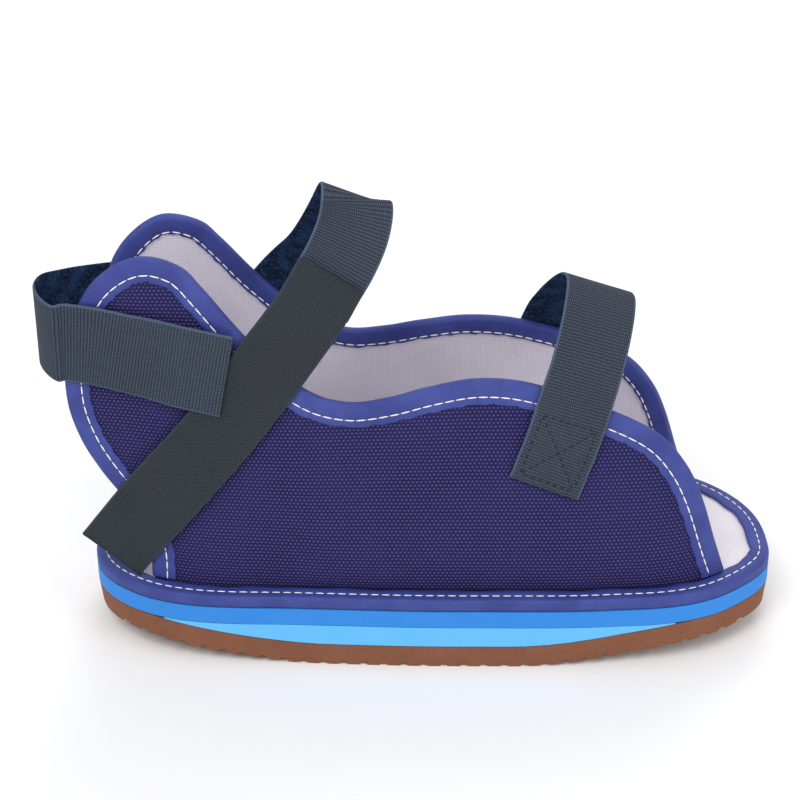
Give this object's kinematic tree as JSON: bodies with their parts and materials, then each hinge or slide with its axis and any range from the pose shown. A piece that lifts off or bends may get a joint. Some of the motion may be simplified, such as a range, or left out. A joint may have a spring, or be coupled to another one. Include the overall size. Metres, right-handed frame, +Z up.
{
  "type": "post operative shoe",
  "caption": "Open heel and open toe cast shoe with a rocker sole, two cloth quarters and webbing straps at heel, ankle and forefoot.",
  "frame": {"origin": "on the floor under the middle of the sole's length, on a flat rib of the outsole", "axes": "+X towards the toe, +Y towards the wearer's left, +Z up"},
  "size_m": [0.3072, 0.1101, 0.2029],
  "materials": {
    "brown_rubber": "matt, fine grained, brown",
    "light_foam": "closed cell foam, light blue, matt",
    "blue_foam": "closed cell foam, mid blue, matt",
    "lining": "off-white ribbed lining cloth",
    "binding_tape": "ribbed royal blue tape with white stitching",
    "canvas": "coarse navy canvas outside, off-white lining inside",
    "loop_webbing": "slate webbing, brushed dark loop on its inner face",
    "hook_tape": "charcoal hook tape backing, finely woven"
  },
  "bodies": {
    "root": {"outsole": "brown_rubber", "midsole_wedge": "light_foam", "midsole": "blue_foam", "insole": "lining", "insole_binding": "binding_tape", "quarter_right": "canvas", "quarter_left": "canvas", "quarter_binding_right": "binding_tape", "quarter_binding_left": "binding_tape", "ankle_strap": "loop_webbing", "ankle_strap_tab": "hook_tape", "heel_strap": "loop_webbing", "forefoot_strap": "loop_webbing", "heel_strap_pad": "hook_tape", "forefoot_strap_pad": "hook_tape"}
  },
  "joints": []
}
